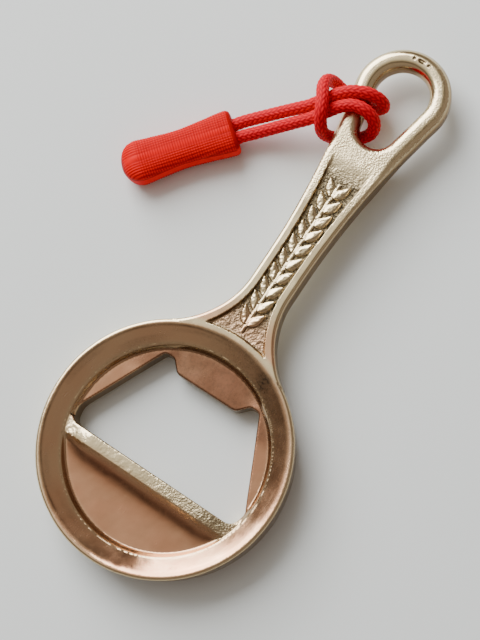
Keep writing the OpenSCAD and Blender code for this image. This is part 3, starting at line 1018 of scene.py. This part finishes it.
@dataclass
class Casting:
    """The plated casting: a round head with a sunk dish and a cap opening, a decorated handle and a loop.

    It is one smooth solid with holes and fillets that no single grid covers, so it is written as a distance
    from its surface, and its mesh is the place where that distance is nought. A rise is the distance in plan
    above the middle of the head, towards the loop.
    """

    loop_r: float = 8.5 * MM
    bar_w: float = 3.7 * MM
    lean: float = math.radians(12)
    eye_drop: float = 7.5 * MM
    waist_half: float = 4.0 * MM
    waist_rise: float = 36.0 * MM
    neck_r: float = 16.0 * MM
    handle_t: float = 4.2 * MM
    border_w: float = 1.6 * MM
    field_depth: float = 0.7 * MM
    field_end: float = 58.0 * MM
    field_fade: float = 5.0 * MM
    crest_r: float = 21.3 * MM
    crest_round: float = 0.5 * MM
    crest_lift: float = 0.12 * MM
    step_r: float = 17.6 * MM
    step_w: float = 1.1 * MM
    band_drop: float = 2.0 * MM
    band_power: float = 1.1
    step_depth: float = 3.0 * MM
    wall_draft: float = 0.6 * MM
    back_recess: float = 0.8 * MM
    lip_drop: float = 4.6 * MM
    lip_w: float = 30.6 * MM
    lip_depth: float = 1.0 * MM
    lip_sink: float = 0.2 * MM
    lip_power: float = 3.5
    lip_end_drop: float = 1.1 * MM
    ledge_w: float = 2.2 * MM
    ledge_crown: float = 0.12 * MM
    tongue_rise: float = 11.6 * MM
    tongue_w: float = 11.0 * MM
    tongue_tilt: float = math.radians(6)
    grain_l: float = 3.9 * MM
    grain_w: float = 1.75 * MM
    grain_h: float = 0.68 * MM
    grain_off: float = 0.30 * MM
    grain_splay: float = math.radians(28)
    stem_half: float = 0.40 * MM
    stem_foot: float = 1.2 * MM
    ear_start: float = 24.4 * MM
    ear_pitch: float = 2.9 * MM
    ear_pairs: int = 10
    grit_h: float = 0.05 * MM
    root_fillet: float = 0.8 * MM
    arm_edge: float = 0.85 * MM
    face_edge: float = 0.65 * MM
    cell: float = 0.256 * MM
    # Size, height and seed of each layer of the casting's unevenness.
    unevenness: tuple[tuple[float, float, int], ...] = ((3.2 * MM, 0.022 * MM, 1), (1.3 * MM, 0.010 * MM, 2))

    def __post_init__(self) -> None:
        """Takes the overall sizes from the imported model, and works out the outlines from them."""
        low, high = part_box("opener_body")
        self.low, self.high = np.array(low), np.array(high)
        self.head_r = float(high.x - low.x) / 2
        self.head_y = float(low.y) + self.head_r
        self.thickness = float(high.z)
        self.loop_rise = float(high.y) - self.head_y - self.loop_r
        self.back_z = self.thickness - self.handle_t
        self.floor_z = self.thickness - self.step_depth
        self.opening = self.opening_outline()
        touch = self.head_r * (self.waist_half + self.neck_r) / (self.head_r + self.neck_r)
        self.root = math.sqrt(self.head_r**2 - touch**2)
        c, s = math.cos(self.lean), math.sin(self.lean)
        self.flare_r = (self.waist_half * c + (self.loop_rise - self.waist_rise) * s - self.loop_r) / (1 - c)

    def opening_outline(self) -> Array:
        """Outline of the opening that takes the cap: straight lip, leaning sides, two notches and the tongue.

        Returns:
            Points round the outline.
        """
        half_lip, half_tongue = self.lip_w / 2, self.tongue_w / 2
        # Place and rounding of each corner of the right half, from the lip's end up to the tongue's.
        right = (
            (half_lip + 1.4 * MM, -self.lip_drop, 1.9 * MM),
            (half_lip + 1.8 * MM, -self.lip_drop + 2.9 * MM, 1.9 * MM),
            (half_tongue + 4.2 * MM, self.tongue_rise + 2.0 * MM, 1.1 * MM),
            (half_tongue + 2.4 * MM, self.tongue_rise + 2.0 * MM, 1.0 * MM),
            (half_tongue + 0.5 * MM, self.tongue_rise, 1.6 * MM),
        )
        left = tuple((-x, y, r) for x, y, r in reversed(right))
        return rounded_outline(right + left)

    def arm_distance(self, across: Array, rise: Array) -> Array:
        """Distance in plan from the outline of the handle and the loop.

        From the head up it is a hollow arc, a straight waist, a long outward arc, a straight limb that
        leans by the same angle as the arc ends at, and the loop's round top.

        Args:
            across: Distance from the middle line.
            rise: Distance above the middle of the head.

        Returns:
            The distance, negative inside.
        """
        neck_rise = math.sqrt((self.head_r + self.neck_r) ** 2 - (self.waist_half + self.neck_r) ** 2)
        neck = self.neck_r - np.hypot(across - self.waist_half - self.neck_r, rise - neck_rise)
        flare = self.flare_r - np.hypot(across - self.waist_half - self.flare_r, rise - self.waist_rise)
        c, s = math.cos(self.lean), math.sin(self.lean)
        up = rise - self.loop_rise
        limb = across * c - up * s - self.loop_r
        top = np.hypot(across, up) - self.loop_r
        join = self.waist_rise + self.flare_r * s
        above_neck = np.where(rise < self.waist_rise, across - self.waist_half, flare)
        shaft = np.where(rise < neck_rise, neck, above_neck)
        arm = np.where(rise < join, shaft, np.where(across * s + up * c < 0, limb, top))
        return np.maximum(arm, self.root - rise)

    def eye_distance(self, across: Array, rise: Array) -> Array:
        """Distance in plan from the eye's outline: a round top and a smaller round foot joined by tangents.

        Args:
            across: Distance from the middle line.
            rise: Distance above the middle of the head.

        Returns:
            The distance, negative inside the eye.
        """
        c, s = math.cos(self.lean), math.sin(self.lean)
        up = rise - self.loop_rise
        eye_r = self.loop_r - self.bar_w
        on_side = across * s + up * c
        foot = np.hypot(across, up + self.eye_drop) - (eye_r - self.eye_drop * s)
        side = across * c - up * s - eye_r
        below = np.where(on_side < -self.eye_drop * c, foot, side)
        return np.where(on_side > 0, np.hypot(across, up) - eye_r, below)

    def ear_height(self, across: Array, rise: Array) -> Array:
        """Height of the raised ear: a stem, and pairs of pointed grains that splay from it.

        A grain is as wide as a sine of its length's power, and its height is a blunt dome across it that
        grows a little towards its tip.

        Args:
            across: Distance from the middle line.
            rise: Distance above the middle of the head.

        Returns:
            The height above the sunken field.
        """
        c, s = math.cos(self.grain_splay), math.sin(self.grain_splay)
        ear_end = self.ear_start + self.ear_pairs * self.ear_pitch
        on_stem = (rise > self.ear_start - self.stem_foot) & (rise < ear_end)
        stem = np.sqrt(np.clip(1 - (across / self.stem_half) ** 2, 0, 1))
        height = 0.6 * self.grain_h * stem * on_stem
        for k in range(self.ear_pairs):
            x = across - self.grain_off
            y = rise - self.ear_start - k * self.ear_pitch
            along = np.clip((x * s + y * c) / self.grain_l, 0, 1)
            half = self.grain_w / 2 * np.sin(math.pi * along**0.8)
            off = (x * c - y * s) / np.maximum(half, 1e-6)
            dome = np.clip(1 - off * off, 0, 1) ** 0.36 * np.clip(half / (0.3 * MM), 0, 1) ** 0.5
            height = np.maximum(height, self.grain_h * dome * (0.78 + 0.22 * along))
        return height

    def above_lip(self, x: Array, rise: Array) -> Array:
        """Share of the ledge past the lip's line, where it ends on the left and flares out on the right.

        Args:
            x: Distance to the right of the middle line.
            rise: Distance above the middle of the head.

        Returns:
            1 on the ledge, falling to 0 past it.
        """
        reach = 0.4 * MM + 2.6 * MM * smooth_step(0, 6 * MM, x)
        return 1 - smooth_step(0, 1, (rise + self.lip_drop) / reach)

    def regions(self, x: Array, rise: Array) -> dict[str, Array]:
        """How far each place belongs to the rough ledge and to the sunken field, from 0 to 1.

        Args:
            x: Distance to the right of the middle line.
            rise: Distance above the middle of the head.

        Returns:
            The two shares, named ledge and field.
        """
        radial = np.hypot(x, rise)
        ledge_end = -self.lip_drop - self.ledge_w
        on_ledge = smooth_step(ledge_end - 1.8 * MM, ledge_end + 0.9 * MM, rise) * self.above_lip(x, rise)
        in_step = 1 - smooth_step(self.step_r - 0.5 * MM, self.step_r + 0.5 * MM, radial)
        border = self.arm_distance(np.abs(x), rise) + self.border_w
        inner = smooth_max(border, self.head_r + 0.1 * MM - radial, 0.4 * MM)
        faded = 1 - smooth_step(self.field_end - self.field_fade, self.field_end, rise)
        return {"ledge": on_ledge * in_step, "field": smooth_step(0, 0.38 * MM, -inner) * faded}

    def band_height(self, radial: Array) -> Array:
        """Height of the ring's band, which falls almost evenly from the rim's crest to the step.

        Args:
            radial: Distance in plan from the middle of the head.

        Returns:
            The height above the table.
        """
        fall = np.clip((self.crest_r - radial) / (self.crest_r - self.step_r - self.step_w / 2), 0, 1)
        sloping = self.thickness - self.band_drop * fall**self.band_power
        return smooth_min(sloping, self.thickness + 0 * radial, self.crest_round) + self.crest_lift

    def dish_height(self, across: Array, rise: Array) -> Array:
        """Height of the dish's flat floor, and of the tongue that slopes down to the opening.

        Args:
            across: Distance from the middle line.
            rise: Distance above the middle of the head.

        Returns:
            The height above the table.
        """
        reach = self.tongue_w / 2 + 2.3 * MM
        tongue = math.tan(self.tongue_tilt) * np.clip(self.step_r - rise, 0, None)
        tongue = tongue * (1 - smooth_step(reach - 1.2 * MM, reach + 1.8 * MM, across)) * (rise > 0)
        return self.floor_z - tongue

    def lip_height(self, x: Array, rise: Array) -> Array:
        """Height of the lip's ledge, which is crowned and falls to the dish by a steep power.

        Its ends sink towards the step.

        Args:
            x: Distance to the right of the middle line.
            rise: Distance above the middle of the head.

        Returns:
            The height above the table, a little under the floor where there is no lip.
        """
        crest = self.thickness - self.lip_depth
        crest = crest - self.lip_end_drop * smooth_step(11 * MM, 17.4 * MM, np.abs(x))
        crest = crest - self.ledge_crown * np.clip((-self.lip_drop - rise) / self.ledge_w, 0, 1.5) ** 2
        run = self.step_r - self.lip_drop - self.ledge_w - 1.5 * MM
        down = np.clip((-self.lip_drop - self.ledge_w - rise) / run, 0, 1)
        in_step = 1 - smooth_step(self.step_r, self.step_r + 0.9 * MM, np.hypot(x, rise))
        fade = self.above_lip(x, rise - 0.6 * MM) * in_step
        height = (crest - self.floor_z + self.lip_sink) * (1 - down) ** self.lip_power * fade
        return self.floor_z - self.lip_sink + height

    def grit(self, x: Array, rise: Array, regions: dict[str, Array]) -> Array:
        """Height of the fine grain that the ledge and the sunken field are cast with.

        Args:
            x: Distance to the right of the middle line.
            rise: Distance above the middle of the head.
            regions: The shares of the ledge and the field.

        Returns:
            The height to add.
        """
        grains = lattice_noise(x, rise, 0.0, 0.55 * MM, 3) + 0.7 * lattice_noise(x, rise, 0.0, 0.3 * MM, 4)
        patchy = 0.3 + 0.4 * lattice_noise(x, rise, 0.0, 4 * MM, 5) + 0.5 * smooth_step(-4 * MM, 12 * MM, x)
        share = np.maximum(regions["ledge"] * np.clip(patchy, 0.05, 1), regions["field"])
        return self.grit_h * grains * share

    def front(self, x: Array, rise: Array, fine: bool) -> Array:
        """Height of the front face: the sloping band, the step, the dish, the lip's ledge and the decoration.

        Args:
            x: Distance to the right of the middle line.
            rise: Distance above the middle of the head.
            fine: Whether to add the casting's small unevenness.

        Returns:
            The height above the table.
        """
        across = np.abs(x)
        radial = np.hypot(x, rise)
        on_band = smooth_step(self.step_r - self.step_w / 2, self.step_r + self.step_w / 2, radial)
        height = self.dish_height(across, rise) * (1 - on_band) + self.band_height(radial) * on_band
        height = smooth_max(height, self.lip_height(x, rise), 0.5 * MM)
        regions = self.regions(x, rise)
        height = height + regions["field"] * (self.ear_height(across, rise) - self.field_depth)
        return height + self.grit(x, rise, regions) if fine else height

    def mark_distance(self, x: Array, rise: Array, z: Array) -> Array:
        """Distance from the small sunk maker's mark on the loop, a dash between two dots.

        Args:
            x: Distance to the right of the middle line.
            rise: Distance above the middle of the head.
            z: Height.

        Returns:
            The distance, negative inside the mark.
        """
        up = rise - self.loop_rise
        bar_r = self.loop_r - self.bar_w / 2
        out = np.hypot(x, up) - bar_r
        along = np.arctan2(x, up) * bar_r
        deep = z - self.thickness
        dash_half, dash_r, dot_at, dot_r = 0.45 * MM, 0.26 * MM, 1.45 * MM, 0.30 * MM
        dash = np.sqrt(np.clip(np.abs(along) - dash_half, 0, None) ** 2 + out**2 + deep**2) - dash_r
        dots = np.sqrt((np.abs(along) - dot_at) ** 2 + out**2 + deep**2) - dot_r
        return np.minimum(dash, dots)

    def distance(self, x: Array, y: Array, z: Array, fine: bool = True) -> Array:
        """Distance from the casting's surface, negative inside.

        The head's wall and the arm are joined with a fillet, cut off by the front face with a rounded edge,
        and then the cap opening, the recess in the back and the mark are taken away.

        Args:
            x: First coordinate.
            y: Second coordinate.
            z: Height.
            fine: Whether to add the casting's small unevenness.

        Returns:
            The distance at each point.
        """
        rise = y - self.head_y
        across = np.abs(x)
        radial = np.hypot(x, rise)
        on_loop = smooth_step(55 * MM, 63 * MM, rise)
        wall = radial - self.head_r + self.wall_draft * (self.thickness - z) / self.thickness
        head = round_max(wall, -z, 0.4 * MM)
        arm = np.maximum(self.arm_distance(across, rise), -self.eye_distance(across, rise))
        arm = round_max(arm, self.back_z - z, self.arm_edge + 0.8 * MM * on_loop)
        fillet = 0.02 * MM + self.root_fillet * smooth_step(self.root, self.root + 5 * MM, rise)
        solid = smooth_min(head, arm, fillet)
        edge = self.face_edge + 0.15 * MM * smooth_step(22 * MM, 28 * MM, rise) + 0.85 * MM * on_loop
        solid = round_max(solid, z - self.front(x, rise, fine), edge)
        solid = round_max(solid, -outline_distance(x, rise, self.opening), 0.3 * MM)
        recess = np.maximum((radial - self.step_r + 1.25 * z) / 1.6, z - self.back_recess)
        solid = round_max(solid, -recess, 0.25 * MM)
        solid = round_max(solid, -self.mark_distance(x, rise, z), 0.08 * MM)
        if fine:
            for size, height, seed in self.unevenness:
                solid = solid + height * lattice_noise(x, y, z, size, seed)
        return solid

    def slope(self, points: Array, step: float = 0.01 * MM) -> Array:
        """The direction in which the distance grows, by differences across a small step.

        Args:
            points: Places near the surface.
            step: The small step.

        Returns:
            The direction at each place, as long as the distance is steep.
        """
        moves = np.eye(3) * step
        rise = [self.distance(*(points + m).T) - self.distance(*(points - m).T) for m in moves]
        return np.stack(rise, axis=1) / (2 * step)

    def surface(self) -> tuple[Array, Array, Array]:
        """The casting's surface: a net of the coarse field, drawn onto the true one.

        Each vertex is eased among its neighbours and then moved down the slope by its own distance.

        Returns:
            The vertices, the quads, and the directions out of the surface.
        """
        margin = 2.5 * self.cell
        origin = self.low - margin
        counts = np.ceil((self.high + margin - origin) / self.cell).astype(int) + 1
        x, y, z = (origin[k] + np.arange(counts[k]) * self.cell for k in range(3))
        values = self.distance(x[:, None, None], y[None, :, None], z[None, None, :], fine=False)
        points, quads = net_of(values, origin, self.cell)
        for _ in range(3):
            points = eased(points, quads, 0.6)
            slope = self.slope(points)
            move = self.distance(*points.T) / np.maximum(np.sum(slope * slope, axis=1), 0.2)
            points = points - np.clip(move, -self.cell, self.cell)[:, None] * slope
        slope = self.slope(points)
        return points, quads, slope / np.linalg.norm(slope, axis=1, keepdims=True)

    def hollow(self, points: Array, out: Array) -> Array:
        """How hollow the surface is: stepping out of a hollow, the distance grows by less than the step."""
        step = 0.7 * MM
        return smooth_step(0.15, 0.8, 1 - self.distance(*(points + out * step).T, fine=False) / step)

    def smudges_and_dark_reflection(self, x: Array, rise: Array) -> Array:
        """Darkening on the ring: a spot, a painted dark reflection stretching towards the upper right, and
        streaks along it.

        Args:
            x: Distance to the right of the middle line.
            rise: Distance above the middle of the head.

        Returns:
            How dark each place is, from 0 to 1.
        """
        radial = np.hypot(x, rise)
        spot = 0.9 * (1 - smooth_step(0.5 * MM, 3 * MM, np.hypot(x - 8 * MM, rise - 18 * MM)))
        # Darker towards the upper right: painted dark reflection.
        turn = (0.69 * x + 0.72 * rise) / np.maximum(radial, MM)
        dark = np.maximum(spot, 0.42 * smooth_step(0.35, 0.95, turn))
        streak = lattice_noise(np.arctan2(rise, x) * 5 * MM, 2.5 * radial, 0.0, 2.4 * MM, 7)
        return np.clip(dark + 0.22 * smooth_step(0.0, 0.9, streak), 0, 1)

    def copper_reflection(self, x: Array, rise: Array, on_ring: Array, in_dish: Array, on_neck: Array) -> Array:
        """Where a coppery reflection is painted: in the dish, on the ring's lower right and on the neck's
        border.

        Args:
            x: Distance to the right of the middle line.
            rise: Distance above the middle of the head.
            on_ring: Share of the ring's band.
            in_dish: Share of the dish.
            on_neck: Share of the front of the neck.

        Returns:
            How much painted coppery reflection each place gets, from 0 to 1.
        """
        radial = np.hypot(x, rise)
        turn = (x * 0.75 - rise * 0.66) / np.maximum(radial, MM)
        # More painted reflection towards the ring's lower right.
        coppery = np.maximum(on_ring * (0.55 + 0.45 * smooth_step(-0.6, 0.9, turn)), in_dish)
        # Less of it along the step, which leaves a paler line there.
        coppery = coppery * (1 - 0.6 * np.exp(-((radial - self.step_r - 0.2 * MM) / (0.55 * MM)) ** 2))
        inside = smooth_step(-self.border_w, 0, -self.arm_distance(np.abs(x), rise))
        return np.maximum(coppery, 0.75 * on_neck * inside)

    def marks(self, points: Array, out: Array) -> dict[str, Array]:
        """Where reflections and shade are painted on the metal, where it is tarnished, and where it is rough.

        Args:
            points: The vertices.
            out: The directions out of the surface.

        Returns:
            The marks at each vertex, from 0 to 1: painted coppery reflection, painted shade in the dish,
                painted dark reflection on the walls, tarnish with painted shade, and roughness.
        """
        x, y, z = points.T
        rise = y - self.head_y
        radial = np.hypot(x, rise)
        regions = self.regions(x, rise)
        facing = smooth_step(0.2, 0.6, out[:, 2])
        off_head = smooth_step(self.head_r, self.head_r + MM, radial)
        up_neck = smooth_step(24 * MM, 30 * MM, rise)
        right = smooth_step(-5 * MM, 12 * MM, x)
        clear = 1 - smooth_step(0.10 * MM, 0.45 * MM, self.ear_height(np.abs(x), rise))
        sunk = regions["field"] * facing * clear
        ledge = regions["ledge"] * facing * smooth_step(self.floor_z, self.floor_z + 0.6 * MM, z)
        on_band = smooth_step(self.step_r - self.step_w, self.step_r + self.step_w, radial)
        on_ring = on_band * facing * (1 - smooth_step(self.head_r - 0.9 * MM, self.head_r - 0.2 * MM, radial))
        in_dish = (1 - on_band) * (1 - regions["ledge"])
        in_dish = in_dish * smooth_step(self.back_recess, 1.5 * self.back_recess, z)
        tongue = in_dish * smooth_step(8 * MM, 11 * MM, rise)
        wall = 1 - smooth_step(0.35, 0.8, np.abs(out[:, 2]))
        web = smooth_step(46 * MM, 52 * MM, rise) * (1 - smooth_step(61 * MM, 70 * MM, rise)) * facing
        web = np.maximum(web, 0.7 * smooth_step(0, 8 * MM, x) * smooth_step(60 * MM, 66 * MM, rise))
        dark = [
            sunk * (0.72 + 0.25 * up_neck),
            ledge * 0.6 * right,
            # Painted shade where the surface is hollow.
            0.6 * (self.hollow(points, out) * off_head),
            # Painted shade on the tongue.
            0.5 * tongue,
            # Painted dark reflection on the ring, with darker spots and streaks.
            on_ring * self.smudges_and_dark_reflection(x, rise),
        ]
        rough = [
            sunk * (0.35 + 0.65 * smooth_step(23 * MM, 28 * MM, rise)),
            ledge * (0.06 + 0.6 * right),
            0.30 * web,
        ]
        return {
            # Painted coppery reflection.
            "copper_reflection": self.copper_reflection(x, rise, on_ring, in_dish, facing * off_head * (1 - up_neck)),
            # Painted shade and dark reflection in the dish, more on the tongue.
            "dish_shade": in_dish * (0.6 + 0.4 * tongue),
            # Painted dark reflection on the side walls, more on those that face right.
            "wall": wall * smooth_step(0, 0.6, out[:, 0] + 0.4),
            # Tarnish mixed with painted shade.
            "patina_and_shade": np.maximum.reduce(dark),
            "rough": np.maximum.reduce(rough),
        }

    def build(self) -> bpy.types.Object:
        """Makes the casting.

        Returns:
            The casting, riding on its body.
        """
        points, quads, out = self.surface()
        made = mesh_object("opener_casting", points, quads.tolist(), self.marks(points, out))
        made.data.normals_split_custom_set_from_vertices(out.tolist())
        made.data.materials.append(PlatedMetal().material())
        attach(made, Body.OPENER.value)
        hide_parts("opener_body")
        return made


def main() -> None:
    """Builds the camera, the cord, the pull, the casting and the studio, in that order."""
    logging.basicConfig(level=logging.INFO, format="%(name)s %(message)s", stream=sys.stdout)
    studio = Studio()
    studio.camera()
    limb, pull_sizes = LimbFrame(), PullSizes()
    cord_maker = BraidedCord(limb, pull_sizes)
    cord = cord_maker.build()
    report(cord)
    pull = MouldedPull(limb, pull_sizes).build()
    report(pull)
    cord_maker.declare()
    report(Casting().build())
    studio.light()
    studio.floor()
    log.info("cord length %.1f mm", cord_maker.length() / MM)


if __name__ == "__main__":
    main()
